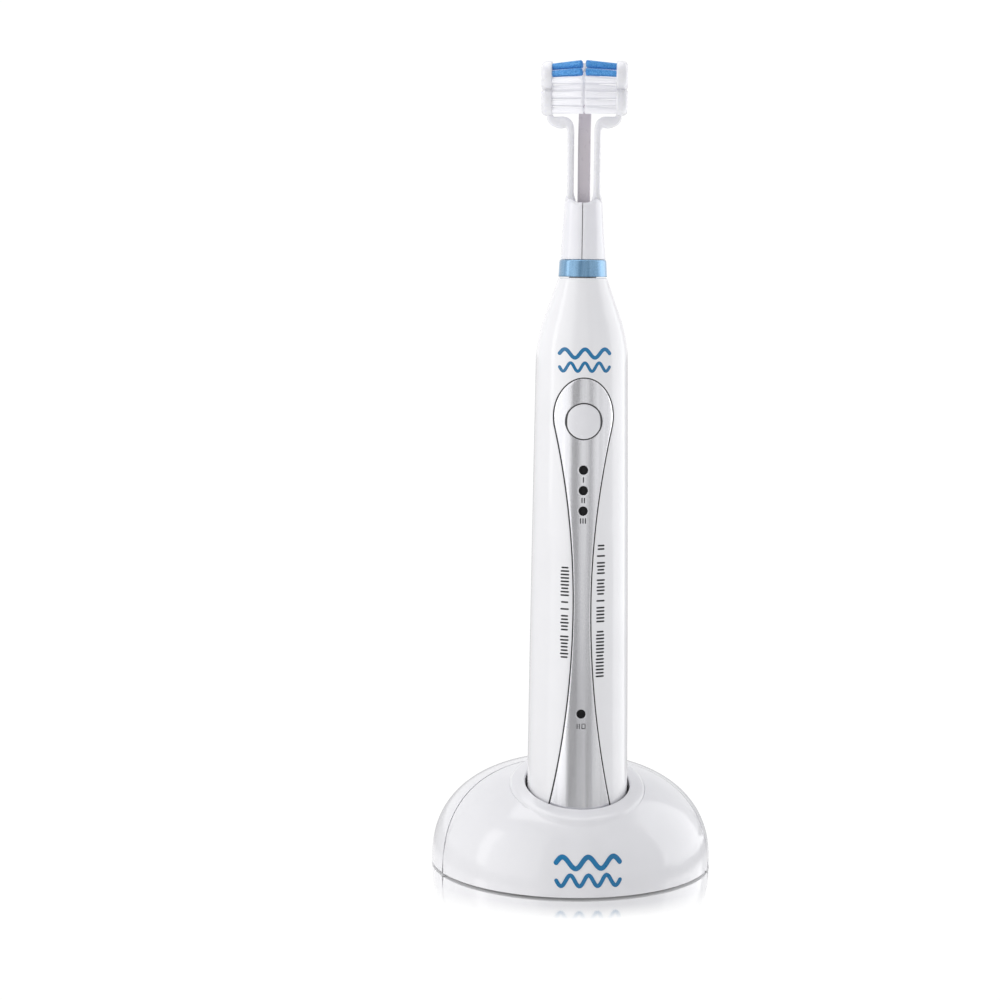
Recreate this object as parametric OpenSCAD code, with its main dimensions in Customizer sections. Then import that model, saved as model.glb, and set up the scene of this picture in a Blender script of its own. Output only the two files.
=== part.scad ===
// Electric toothbrush with a three-sided brush head, standing in its charger base.
// Millimetres, +Z up, base front towards -Y, origin at the base's centre on the table.

/* [Charger base] */
// Outer radius of the domed base at the table
base_r = 41.5; // [40:0.5:44]
// Height of the dome without its collar
dome_h = 30.4; // [30:0.1:30.8]
// Roundness of the dome: 2 is an ellipse, more is boxier
dome_power = 2.4; // [2.3:0.05:2.5]
// Wall of the base covers
cover_wall = 2.0; // [1.8:0.1:2.2]
// How far the handle's axis stands in front of the base's centre
seat_offset = 15; // [14:0.5:16]
// Radius of the well that the handle stands in
well_r = 15.15; // [15.1:0.05:15.4]
// Outer radius of the collar round the well
collar_r = 19.6; // [19.4:0.1:19.7]
// Height of the collar's middle above the table
collar_z = 27.2; // [26.8:0.1:27.6]
// Forward tilt of the collar in degrees
collar_tilt = 16.7; // [15:0.1:17]
// Radius of the vertical cut between the front and the rear cover
seam_r = 50.1; // [50:0.1:50.4]
// Bore of the cord gland
cord_bore_r = 2.2; // [1.8:0.1:2.4]

/* [Handle] */
// Turn of the handle in the well, in degrees, seen from above
handle_turn = -3.5; // [-10:0.5:10]
// Radius of the handle at its foot
foot_r = 14.65; // [14.5:0.05:14.7]
// Radius of the handle just under its shoulder
shoulder_r = 13.1; // [13:0.05:13.2]
// Wall of the handle housing
housing_wall = 1.7; // [1.6:0.1:1.8]
// Radius of the handle's nose under the brush head
nose_r = 6.9; // [6.8:0.05:7]
// Radius of the power button
button_r = 5.1; // [4.9:0.1:5.2]
// Height of the power button's centre
button_z = 133.2; // [133:0.1:134]
// Radius of the indicator lenses
lens_r = 1.25; // [1.1:0.05:1.3]
// Travel of the power button
button_travel = 0.6; // [0.4:0.1:0.6]

/* [Brush head] */
// Turn of the drive and the brush head on the handle, in degrees, seen from above
head_turn = -6; // [-8:0.5:8]
// Radius of the neck above the coloured ring
neck_r = 6.4; // [6.2:0.1:6.5]
// Distance of the side stems from the head's axis
stem_x = 3.75; // [3.7:0.05:3.8]
// Width of a side stem
stem_w = 1.9; // [1.8:0.05:2]
// Distance of the side pads' bristle faces from the head's axis
pad_x = 9; // [8.9:0.1:9.2]
// Thickness of a side pad
pad_t = 3.1; // [2.9:0.1:3.2]
// Root radius of a tuft
tuft_r = 0.78; // [0.7:0.02:0.8]

/* [Hidden] */
$fn = 64;

// --- base heights and places
cover_edge_z = 0.8;            // lower edge of the covers, above the table
plate_z = 0.9;                 // underside of the base plate
plate_top = 2.5;
well_floor = 4.1;              // where the handle's foot stands
well_wall = 1.5;
seam_y = -44.9;                // centre of the vertical cut between the covers
seam_gap = 0.25;
collar_h = 3;                  // depth of the collar's flange
collar_skirt = 6.5;
post_r = 4.4;
post_top = 18.6;
gland_z = 9;
gland_y = 41.2;                // outer end of the cord gland
gland_len = 8.2;
screw_spots = [[25, -23], [-25, -23], [23, 20], [-23, 20]];
foot_spots = [[16, -29.5], [-16, -29.5], [14, 30.5], [-14, 30.5]];

// --- handle heights, in the handle's own frame with its axis on Z and its front on -Y
foot_z = 4.3;
cap_z = 8.4;                   // joint between the end cap and the housing
shoulder_z = 150;
nose_z = 173.2;
boss_z = 175;
panel_top = 145.2;
panel_bottom = 16;
panel_waist = 80.9;
panel_waist_half = 2.34;
panel_join = 131.5;            // where the panel's round top meets its tapering part
panel_top_z = 134.47;          // centre of the round top
panel_half_max = 8.25;
panel_t = 0.7;
panel_gap = 0.3;
lens_pitch = 5.77;
lens_z = [119.6, 119.6 - lens_pitch, 119.6 - 2 * lens_pitch];
charge_z = 50.3;
board_f = 7;                   // the control board's rear face, forward of the axis
board_t = 1;
battery_r = 7;
battery_y = 1;
battery_z = 36;
battery_h = 49;
shaft_r = 1.9;
shaft_bore = 1.96;
motor_r = 6.5;
motor_z = 104;
motor_top = 146;

// --- head heights
ring_z = 173.5;
ring_top = 178.3;
neck_top = 195.2;
shaft_top = 192;
stem_foot = 195.4;
bend_z = 213.9;                 // where the side stems turn outwards
arm_y = -1.5;                  // front face of the side stems
arm_t = 2.6;
lobe_z = [222.4, 229.55];      // lower and upper lobe of a side pad
lobe_r = [3.95, 4.25];
pad_y = -0.6;
blue_tip_x = 0.5;                // distance of the tufts' tips from the middle
white_tip_x = 0.15;
tuft_lean = 3.1;               // how far the side tufts' tips lean forward

function lerp(a, b, t) = a + (b - a) * t;
function bezier(p0, p1, p2, t) = lerp(lerp(p0, p1, t), lerp(p1, p2, t), t);

// Quarter outline of the dome, from its rim to its top
function dome_outline(r, h, steps) = [
    for (i = [0 : steps]) let (a = 90 * i / steps)
        [r * pow(cos(a), 2 / dome_power), h * pow(sin(a), 2 / dome_power)]
];

// Radius of the handle's body at a height
function body_r(z) = foot_r - (foot_r - shoulder_r) * pow(z / shoulder_z, 1.4);

// The handle's outline from its foot joint to its nose, drawn inwards by a wall
function handle_outline(inset) = concat(
    [for (z = [cap_z, 40, 66, 95, 124]) [body_r(z) - inset, z]],
    [for (i = [0 : 10]) bezier(
        [shoulder_r - inset, shoulder_z],
        [shoulder_r - 0.1 - inset, shoulder_z + 5.8],
        [10.9 - inset, shoulder_z + 12], i / 10)]
);

// Half width of the inlay panel: an ellipse at the top, two parabolas that meet at the waist
function panel_half(z) =
    z > panel_join ? panel_half_max * sqrt(max(0, 1 - pow((z - panel_top_z) / (panel_top - panel_top_z), 2)))
    : panel_waist_half + (z > panel_waist ? 0.002183 : 0.00189) * pow(z - panel_waist, 2);

panel_heights = concat(
    [for (z = [panel_bottom : 4.2 : panel_join - 2]) z],
    [for (i = [0 : 14]) panel_top_z + (panel_top - panel_top_z) * sin(-16 + 106 * i / 14)]
);

module on_seat() {
    translate([0, -seat_offset, 0]) children();
}

module on_handle() {
    on_seat() rotate([0, 0, handle_turn]) children();
}

module on_head() {
    on_handle() rotate([0, 0, head_turn]) children();
}

module tube(r_out, r_in, h) {
    difference() {
        cylinder(r = r_out, h = h);
        translate([0, 0, -1]) cylinder(r = r_in, h = h + 2);
    }
}

module block(x, y, z) {
    translate([-x / 2, -y / 2, 0]) cube([x, y, z]);
}

// A cylinder that points forward, from distance f0 to f1 in front of the axis
module forward(r, f0, f1, z) {
    translate([0, -f0, z]) rotate([90, 0, 0]) cylinder(r = r, h = f1 - f0);
}

module mirrored(side) {
    mirror([side < 0 ? 1 : 0, 0, 0]) children();
}

// ---------------------------------------------------------------- charger base

module dome(inset) {
    rotate_extrude($fn = 96)
        polygon(concat([[0, 0]], dome_outline(base_r - inset, dome_h - inset, 30)));
}

// Everything above the collar's tilted plane, lowered by drop
module above_collar(drop) {
    on_seat() translate([0, 0, collar_z - drop]) rotate([collar_tilt, 0, 0])
        translate([-60, -60, 0]) cube([120, 120, 60]);
}

module dome_wall() {
    difference() {
        dome(0);
        dome(cover_wall);
        translate([-60, -60, -1]) cube([120, 120, 1 + cover_edge_z]);
    }
}

module cover_boss(spot) {
    intersection() {
        dome(cover_wall / 2);
        translate([spot[0], spot[1], plate_top + 0.1]) tube(3, 1.15, 30);
    }
}

module base_front_cover() {
    color("whitesmoke") difference() {
        union() {
            intersection() {
                dome_wall();
                translate([0, seam_y, -1]) cylinder(r = seam_r - seam_gap / 2, h = 60, $fn = 96);
            }
            for (i = [0, 1]) cover_boss(screw_spots[i]);
        }
        on_seat() translate([0, 0, -1]) cylinder(r = collar_r + 0.05, h = 60);
    }
}

module base_rear_cover() {
    color("white") difference() {
        union() {
            difference() {
                dome_wall();
                translate([0, seam_y, -1]) cylinder(r = seam_r + seam_gap / 2, h = 60, $fn = 96);
            }
            for (i = [2, 3]) cover_boss(screw_spots[i]);
        }
        translate([0, 30, gland_z]) rotate([-90, 0, 0]) cylinder(r = 3.7, h = 20);
    }
}

module collar_ring() {
    color("whitesmoke") difference() {
        on_seat() union() {
            translate([0, 0, 8]) tube(collar_r, well_r, 30);
        }
        above_collar(0);
        difference() {
            translate([-60, -60, -1]) cube([120, 120, 60]);
            above_collar(collar_skirt);
        }
        difference() {
            on_seat() cylinder(r = 17.3, h = 60);
            above_collar(collar_h);
        }
    }
}

module well_cup() {
    color("gainsboro") difference() {
        union() {
            difference() {
                on_seat() translate([0, 0, plate_top + 0.1]) difference() {
                    cylinder(r = well_r + well_wall, h = 34);
                    translate([0, 0, well_floor - plate_top - 0.1]) cylinder(r = well_r, h = 40);
                }
                above_collar(collar_h + 0.1);
            }
            on_seat() translate([0, 0, plate_top + 0.1]) cylinder(r = post_r, h = post_top - plate_top - 0.1);
        }
        on_seat() cylinder(r = 3.4, h = post_top - 1);
    }
}

module base_plate() {
    color("lightgray") union() {
        difference() {
            translate([0, 0, plate_z]) cylinder(r = base_r - cover_wall - 0.2, h = plate_top - plate_z, $fn = 96);
            for (s = screw_spots) translate([s[0], s[1], 0]) {
                cylinder(r = 1.3, h = 5);
                cylinder(r = 2.6, h = plate_z + 1);
            }
            for (s = foot_spots) translate([s[0], s[1], 0]) cylinder(r = 4.3, h = plate_z + 0.4);
        }
        for (s = [[-14, 9], [14, 9], [0, 25]])
            translate([s[0], s[1], plate_top - 0.2]) cylinder(r = 1.8, h = 2.7);
    }
}

module foot_pads() {
    color("dimgray") for (s = foot_spots)
        translate([s[0], s[1], 0]) cylinder(r = 4.2, h = plate_z + 0.4);
}

module screw(shank) {
    difference() {
        union() {
            cylinder(r = 2.4, h = 0.9);
            translate([0, 0, 0.8]) cylinder(r = 1.1, h = shank);
        }
        for (a = [0, 90]) rotate([0, 0, a]) translate([-1.4, -0.25, -1]) cube([2.8, 0.5, 1.5]);
    }
}

module base_screws() {
    color("silver") for (s = screw_spots) translate([s[0], s[1], plate_z + 0.1]) screw(8);
}

module cord_gland() {
    color("lightgray") translate([0, gland_y, gland_z]) rotate([90, 0, 0]) difference() {
        union() {
            cylinder(r = 3.6, h = gland_len);
            translate([0, 0, 5.5]) cylinder(r = 4.6, h = gland_len - 5.5);
        }
        translate([0, 0, -1]) cylinder(r = cord_bore_r, h = gland_len + 2);
    }
}

module ferrite_core() {
    color("dimgray") on_seat() translate([0, 0, plate_top + 0.1]) cylinder(r = 1.5, h = 14.6);
}

module primary_bobbin() {
    color("ivory") on_seat() translate([0, 0, 3.6]) {
        tube(1.9, 1.55, 13.2);
        for (z = [0, 12.7]) translate([0, 0, z]) tube(3.25, 1.55, 0.5);
    }
}

module primary_coil() {
    color("peru") on_seat() translate([0, 0, 4.2]) tube(3.1, 1.95, 12);
}

module charger_board() {
    color("seagreen") translate([0, 17, plate_top + 2.5]) block(34, 22, 1.2);
}

module supply_transformer() {
    color("goldenrod") translate([-9, 15, 6.2]) union() {
        block(10, 11, 2);
        translate([0, 0, 1.9]) block(7, 11, 5.2);
        translate([0, 0, 7]) block(10, 11, 2);
    }
}

module filter_capacitor() {
    color("midnightblue") translate([10, 12, 6.2]) cylinder(r = 3.6, h = 9);
}

module driver_chip() {
    color("black") translate([9, 22, 6.2]) block(6, 5, 1.5);
}

// ---------------------------------------------------------------- handle

module handle_solid(inset) {
    rotate_extrude($fn = 96) polygon(concat(
        [[0, cap_z]],
        handle_outline(inset),
        [[nose_r + 0.15 - inset, nose_z - 0.4], [nose_r - 0.3 - inset, nose_z], [0, nose_z]]
    ));
}

// The inlay's outline, stretched forward through the housing's front wall
module panel_prism(gap) {
    rotate([90, 0, 0]) linear_extrude(height = 20) polygon(concat(
        [for (z = panel_heights) [panel_half(z) + gap, z + (z > 140 ? gap : 0)]],
        [for (i = [len(panel_heights) - 1 : -1 : 0]) let (z = panel_heights[i])
            [-panel_half(z) - gap, z + (z > 140 ? gap : 0)]]
    ));
}

module front_holes(r_button, r_lens) {
    forward(r_button, 8.5, 20, button_z);
    for (z = concat(lens_z, [charge_z])) forward(r_lens, 8.5, 20, z);
}

module handle_housing() {
    color("white") on_handle() difference() {
        union() {
            handle_solid(0);
            translate([0, 0, nose_z - 1]) cylinder(r = 3.9, h = boss_z - nose_z + 1);
        }
        rotate_extrude($fn = 96) polygon(concat(
            [[0, cap_z - 1], [body_r(cap_z) - housing_wall, cap_z - 1]],
            handle_outline(housing_wall),
            [[6.4, 167], [0, 167]]
        ));
        translate([0, 0, 160]) cylinder(r = 3, h = 20);
        difference() {
            panel_prism(panel_gap);
            handle_solid(panel_t + 0.05);
        }
        front_holes(button_r + 0.2, lens_r + 0.05);
    }
}

module inlay_panel() {
    color("silver") on_handle() difference() {
        intersection() {
            panel_prism(0);
            handle_solid(0);
        }
        handle_solid(panel_t);
        front_holes(button_r + 0.2, lens_r + 0.05);
    }
}

module end_cap() {
    color("white") on_handle() difference() {
        union() {
            rotate_extrude() polygon([
                [0, foot_z], [foot_r - 1.4, foot_z], [foot_r - 0.4, foot_z + 0.4],
                [foot_r, foot_z + 1.4], [body_r(cap_z), cap_z - 0.1], [0, cap_z - 0.1]
            ]);
            translate([0, 0, cap_z - 0.2]) difference() {
                cylinder(r = body_r(cap_z) - housing_wall - 0.3, h = 6);
                translate([0, 0, -0.1]) cylinder(r = 10.6, h = 7);
                translate([0, 0, 2.4]) tube(14, 12, 1.7);
            }
            translate([0, 0, foot_z + 1]) cylinder(r = 5.8, h = 15.2);
        }
        translate([0, 0, foot_z - 1]) cylinder(r = 4.8, h = 16.2);
    }
}

module end_cap_seal() {
    color("dimgray") on_handle() translate([0, 0, cap_z + 3.05])
        rotate_extrude() translate([12.45, 0]) circle(r = 0.4, $fn = 24);
}

module inner_frame() {
    color("gainsboro") on_handle() union() {
        difference() {
            translate([0, 0, 24]) tube(10.7, 9.6, 124);
            translate([-15, -20, 0]) cube([30, 22, 200]);
        }
        for (z = [33.8, 86.8, 101.8]) translate([0, 0, z]) difference() {
            cylinder(r = 10.7, h = 1.5);
            translate([-15, -35.8, -1]) cube([30, 29, 4]);
            translate([0, battery_y, -1]) cylinder(r = 4.5, h = 4);
        }
        translate([0, 0, motor_top + 0.2]) difference() {
            cylinder(r = 10.7, h = 1.5);
            translate([-15, -35.8, -1]) cube([30, 29, 4]);
            translate([0, 0, -1]) cylinder(r = 3.5, h = 4);
        }
    }
}

module control_board() {
    color("seagreen") on_handle() translate([-6.5, -board_f - board_t, 42]) cube([13, board_t, 101]);
}

module tact_switch() {
    color("dimgray") on_handle() union() {
        translate([-3, -board_f - board_t - 1.6, button_z - 3]) cube([6, 1.6, 6]);
        forward(1.2, board_f + board_t + 1.5, board_f + board_t + 1.95, button_z);
    }
}

module indicator_leds() {
    color("lightyellow") on_handle() for (z = concat(lens_z, [charge_z]))
        translate([-0.8, -board_f - board_t - 0.8, z - 0.6]) cube([1.6, 0.8, 1.2]);
}

module lens(z) {
    color("black") on_handle() intersection() {
        forward(lens_r, board_f + board_t + 1.2, 20, z);
        handle_solid(0.02);
    }
}

module battery_cell() {
    color("royalblue") on_handle() translate([0, battery_y, battery_z]) union() {
        cylinder(r = battery_r, h = battery_h);
        translate([0, 0, battery_h - 0.1]) cylinder(r = 2.75, h = 1.1);
    }
}

module battery_contact(z) {
    color("silver") on_handle() translate([0, battery_y, z]) union() {
        translate([0, 0, -0.15]) cylinder(r = 3.6, h = 0.3);
        translate([-2, -battery_y - board_f + 0.1, -0.15]) cube([4, board_f - 2, 0.3]);
    }
}

module secondary_coil() {
    color("peru") on_handle() translate([0, 0, 9.2]) tube(9.6, 6, 9.6);
}

module motor_can() {
    color("lightsteelblue") on_handle() translate([0, 0, motor_z]) difference() {
        cylinder(r = motor_r, h = motor_top - motor_z);
        translate([0, 0, -1]) cylinder(r = motor_r - 0.5, h = motor_top - motor_z - 0.2);
        cylinder(r = 3.05, h = 60);
    }
}

module motor_end_plate() {
    color("silver") on_handle() translate([0, 0, motor_z + 0.1]) tube(motor_r - 0.6, 3.05, 1.2);
}

module stator_core() {
    color("slategray") on_handle() translate([0, 0, 112]) difference() {
        tube(motor_r - 0.6, 4.1, 24);
        for (a = [0, 180]) rotate([0, 0, a]) translate([-2.2, 0, -1]) cube([4.4, 10, 30]);
    }
}

module stator_coils() {
    color("peru") on_handle() for (a = [0, 180]) rotate([0, 0, a])
        intersection() {
            translate([0, 0, 109]) tube(motor_r - 0.8, 4.2, 30);
            translate([-2, 0, 108]) cube([4, 10, 32]);
        }
}

module bearing(z) {
    color("darkgoldenrod") on_handle() translate([0, 0, z]) union() {
        tube(3, shaft_bore, 3.6);
        translate([0, 0, 1.3]) tube(3.6, shaft_bore, 1);
    }
}

module shaft_seal() {
    color("slategray") on_handle() union() {
        translate([0, 0, 167.6]) tube(2.95, shaft_bore, boss_z - 167.6);
        translate([0, 0, 165.6]) tube(4, shaft_bore, 1.3);
        translate([0, 0, 166.8]) tube(2.9, shaft_bore, 1);
    }
}

module power_button() {
    color("white") on_handle() union() {
        difference() {
            intersection() {
                forward(button_r, 11.3, 20, button_z);
                translate([0, 0.1, 0]) rotate_extrude($fn = 96)
                    polygon([[0, 100], [body_r(button_z), 100], [body_r(button_z), 160], [0, 160]]);
            }
            difference() {
                forward(button_r + 1, 11.9, 12.7, button_z);
                forward(button_r - 0.6, 11, 13, button_z);
            }
        }
        forward(1.8, 10.6, 11.5, button_z);
    }
}

module button_seal() {
    color("gray") on_handle() difference() {
        forward(button_r + 0.18, 12, 12.6, button_z);
        forward(button_r - 0.55, 11, 13, button_z);
    }
}

// ---------------------------------------------------------------- drive

module drive_shaft() {
    color("silver") on_head() difference() {
        translate([0, 0, motor_z + 0.5]) cylinder(r = shaft_r, h = shaft_top - motor_z - 0.5);
        translate([-3, -3.5, shaft_top - 12]) cube([6, 2.1, 20]);
    }
}

module rotor_magnet() {
    color("gray") on_head() translate([0, 0, 112.5]) tube(3.9, shaft_r + 0.02, 23);
}

// ---------------------------------------------------------------- brush head

module neck_solid() {
    difference() {
        rotate_extrude($fn = 96) polygon([
            [0, ring_z + 0.5], [5.3, ring_z + 0.5], [5.3, ring_top + 0.1], [neck_r, ring_top + 0.1],
            [5.25, neck_top - 1], [4.95, neck_top - 0.3], [4.5, neck_top], [0, neck_top]
        ]);
        cylinder(r = 4.3, h = ring_z + 2.5);
        cylinder(r = shaft_bore, h = shaft_top + 0.6);
        translate([0, 0, 177.9]) cylinder(r = 2.45, h = 10.2);
        translate([-1.85, 0.55, 192.8]) cube([3.7, 2.1, 10]);
    }
}

module neck_half(side) {
    color("white") on_head() intersection() {
        neck_solid();
        mirrored(side) translate([0.1, -10, 170]) cube([10, 20, 30]);
    }
}

module neck_ring() {
    color("cornflowerblue") on_head() rotate_extrude($fn = 96) polygon([
        [5.35, ring_z], [nose_r - 0.1, ring_z], [nose_r, ring_z + 0.15], [nose_r - 0.2, ring_top - 0.6],
        [nose_r - 0.35, ring_top - 0.2], [nose_r - 0.65, ring_top], [5.35, ring_top]
    ]);
}

module shaft_clip() {
    color("silver") on_head() difference() {
        translate([0, 0, 178]) tube(2.35, 2, 10);
        translate([-0.4, 0, 177]) cube([0.8, 5, 12]);
    }
}

module rear_stem() {
    color("lightgray") on_head() translate([1.8, 0, 0]) rotate([90, 0, -90]) linear_extrude(height = 3.6)
        polygon([
            [-0.6, 192.9], [-2.6, 192.9], [-2.6, 211], [-3.2, 214.5], [-5, 218.6], [-5.9, 222],
            [-4.7, 222], [-3.2, 218.4], [-1.3, 215.4], [-0.6, 212]
        ]);
}

module rear_pad() {
    color("white") on_head() difference() {
        union() {
            for (z = [223.3, 229.9]) translate([0, 4.7, z]) rotate([-90, 0, 0]) cylinder(r = 3.9, h = 1.8);
            translate([-3.9, 4.7, 223.3]) cube([7.8, 1.8, 6.6]);
            for (x = [-1.4, 1.4]) translate([x, 5.6, 233]) cylinder(r1 = 0.45, r2 = 0.25, h = 1.7);
        }
        translate([-1.85, 4.6, 218]) cube([3.7, 1.35, 4.1]);
    }
}

module rear_tufts() {
    color("white") on_head() for (row = [0 : 4]) let (n = row == 0 || row == 4 ? 2 : 3)
        for (i = [0 : n - 1])
            translate([(i - (n - 1) / 2) * 2, 4.7, 223.3 + row * 2.25]) rotate([90, 0, 0])
                cylinder(r1 = tuft_r, r2 = tuft_r + 0.12, h = 4.9);
}

// A side stem seen from the front: up, outwards under the pad, and a heel in the pad's foot
stem_outline = concat(
    [[stem_x - stem_w / 2, stem_foot], [stem_x + stem_w / 2, stem_foot]],
    [for (i = [0 : 8]) bezier(
        [stem_x + stem_w / 2, bend_z], [stem_x + stem_w / 2, bend_z + 2.1], [7.2, bend_z + 2], i / 8)],
    [[9, bend_z + 2.2], [10.1, bend_z + 3], [10.6, bend_z + 4.2], [10.6, bend_z + 5.2], [9.2, bend_z + 5.2]],
    [for (i = [0 : 8]) bezier(
        [8, bend_z + 4.5], [stem_x - stem_w / 2, bend_z + 4.3], [stem_x - stem_w / 2, bend_z], i / 8)]
);

module side_stem(side) {
    color("white") on_head() mirrored(side) translate([0, arm_y + arm_t, 0]) rotate([90, 0, 0])
        linear_extrude(height = arm_t) polygon(stem_outline);
}

module side_pad(side) {
    color("white") on_head() mirrored(side) difference() {
        for (i = [0, 1]) translate([pad_x, pad_y, lobe_z[i]]) rotate([0, 90, 0]) rotate_extrude($fn = 96)
            polygon([
                [0, 0], [lobe_r[i] - 0.25, 0], [lobe_r[i], 0.3], [lobe_r[i], pad_t - 1],
                [lobe_r[i] - 0.3, pad_t - 0.3], [lobe_r[i] - 1, pad_t], [0, pad_t]
            ]);
        translate([pad_x - 1, arm_y - 0.05, 215]) cube([10.65 - pad_x + 1, arm_t + 0.1, bend_z + 5.25 - 215]);
    }
}

// Rows of tufts on a side pad: [height, rise of the tip, places across the pad]
blue_rows = [[232.1, 0.5, [-2.4, -0.7, 1.0]], [230.1, 0.25, [-3.3, -1.5, 0.3]]];
white_rows = [
    [228.1, 0.1, [-3.3, -1.5, 0.3]], [226.05, 0.05, [-1.5, 0.3]], [224.05, 0, [-3, -1.25, 0.5]],
    [222, -0.05, [-3.1, -1.35, 0.4]], [220.05, -0.1, [-2.4, -0.7, 1.0]]
];

module side_tufts(side, rows, tip_x) {
    length = norm([pad_x - tip_x, tuft_lean]);
    on_head() mirrored(side) intersection() {
        translate([tip_x, -10, 210]) cube([pad_x - tip_x, 20, 30]);
        for (row = rows) for (y = row[2])
            translate([pad_x, y, row[0]]) rotate([0, 0, atan(tuft_lean / (pad_x - tip_x))])
                rotate([0, atan(row[1] / length) - 90, 0]) translate([0, 0, -0.4])
                    cylinder(r1 = tuft_r, r2 = tuft_r + 0.12, h = length + 0.4);
    }
}

base_front_cover();
base_rear_cover();
collar_ring();
well_cup();
base_plate();
foot_pads();
base_screws();
cord_gland();
ferrite_core();
primary_bobbin();
primary_coil();
charger_board();
supply_transformer();
filter_capacitor();
driver_chip();
handle_housing();
inlay_panel();
end_cap();
end_cap_seal();
inner_frame();
control_board();
tact_switch();
indicator_leds();
lens(lens_z[0]);  // mode_lens_1
lens(lens_z[1]);  // mode_lens_2
lens(lens_z[2]);  // mode_lens_3
lens(charge_z);  // charge_lens
battery_cell();
battery_contact(86.45);  // battery_contact_top
battery_contact(35.6);  // battery_contact_bottom
secondary_coil();
motor_can();
motor_end_plate();
stator_core();
stator_coils();
bearing(142.4);  // front_bearing
bearing(104.2);  // rear_bearing
shaft_seal();
power_button();
button_seal();
drive_shaft();
rotor_magnet();
neck_half(-1);  // neck_left_half
neck_half(1);  // neck_right_half
neck_ring();
shaft_clip();
rear_stem();
rear_pad();
rear_tufts();
side_stem(-1);  // left_stem
side_pad(-1);  // left_pad
color("dodgerblue") side_tufts(-1, blue_rows, blue_tip_x);  // left_blue_tufts
color("white") side_tufts(-1, white_rows, white_tip_x);  // left_white_tufts
side_stem(1);  // right_stem
side_pad(1);  // right_pad
color("dodgerblue") side_tufts(1, blue_rows, blue_tip_x);  // right_blue_tufts
color("white") side_tufts(1, white_rows, white_tip_x);  // right_white_tufts
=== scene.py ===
"""Electric toothbrush standing in its charging base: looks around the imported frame.

Lengths inside the functions are millimetres, except for the stage, which is in metres. Three placings are used:
"seat" for the handle, whose axis stands in front of the base's centre and is turned a little, "head" for what sits
on its shaft, and "plain" for the base.
"""
import math
import random

import bmesh
import bpy
from mathutils import Matrix, Vector


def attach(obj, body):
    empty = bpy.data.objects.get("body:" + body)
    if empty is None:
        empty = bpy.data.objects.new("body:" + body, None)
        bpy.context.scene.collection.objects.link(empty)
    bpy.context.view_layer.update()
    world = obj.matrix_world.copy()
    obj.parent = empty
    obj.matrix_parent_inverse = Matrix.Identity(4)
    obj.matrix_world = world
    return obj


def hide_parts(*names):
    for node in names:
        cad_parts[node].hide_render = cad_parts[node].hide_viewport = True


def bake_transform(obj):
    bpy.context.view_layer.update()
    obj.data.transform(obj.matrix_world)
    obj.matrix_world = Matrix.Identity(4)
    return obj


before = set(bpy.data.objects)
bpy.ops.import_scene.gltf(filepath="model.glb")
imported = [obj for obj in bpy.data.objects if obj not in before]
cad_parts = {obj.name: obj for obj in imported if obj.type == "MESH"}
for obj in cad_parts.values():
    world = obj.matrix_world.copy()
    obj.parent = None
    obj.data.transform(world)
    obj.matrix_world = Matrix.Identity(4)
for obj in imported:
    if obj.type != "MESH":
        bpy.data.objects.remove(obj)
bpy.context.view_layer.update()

MM = 0.001
SEAT_Y = -15.0
HANDLE_TURN = math.radians(-3.5)
HEAD_TURN = math.radians(-9.5)
TAU = 2 * math.pi


def turned(x, y, z, angle):
    c, s = math.cos(angle), math.sin(angle)
    return ((x * c - y * s) * MM, (x * s + y * c + SEAT_Y) * MM, z * MM)


def seat(x, y, z):
    return turned(x, y, z, HANDLE_TURN)


def head(x, y, z):
    return turned(x, y, z, HEAD_TURN)


def plain(x, y, z):
    return (x * MM, y * MM, z * MM)


def lerp(a, b, t):
    return a + (b - a) * t


def smooth(t):
    t = min(1.0, max(0.0, t))
    return t * t * (3 - 2 * t)


def steps(a, b, n):
    return [lerp(a, b, i / n) for i in range(n + 1)]


# ------------------------------------------------------------------ materials


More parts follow.
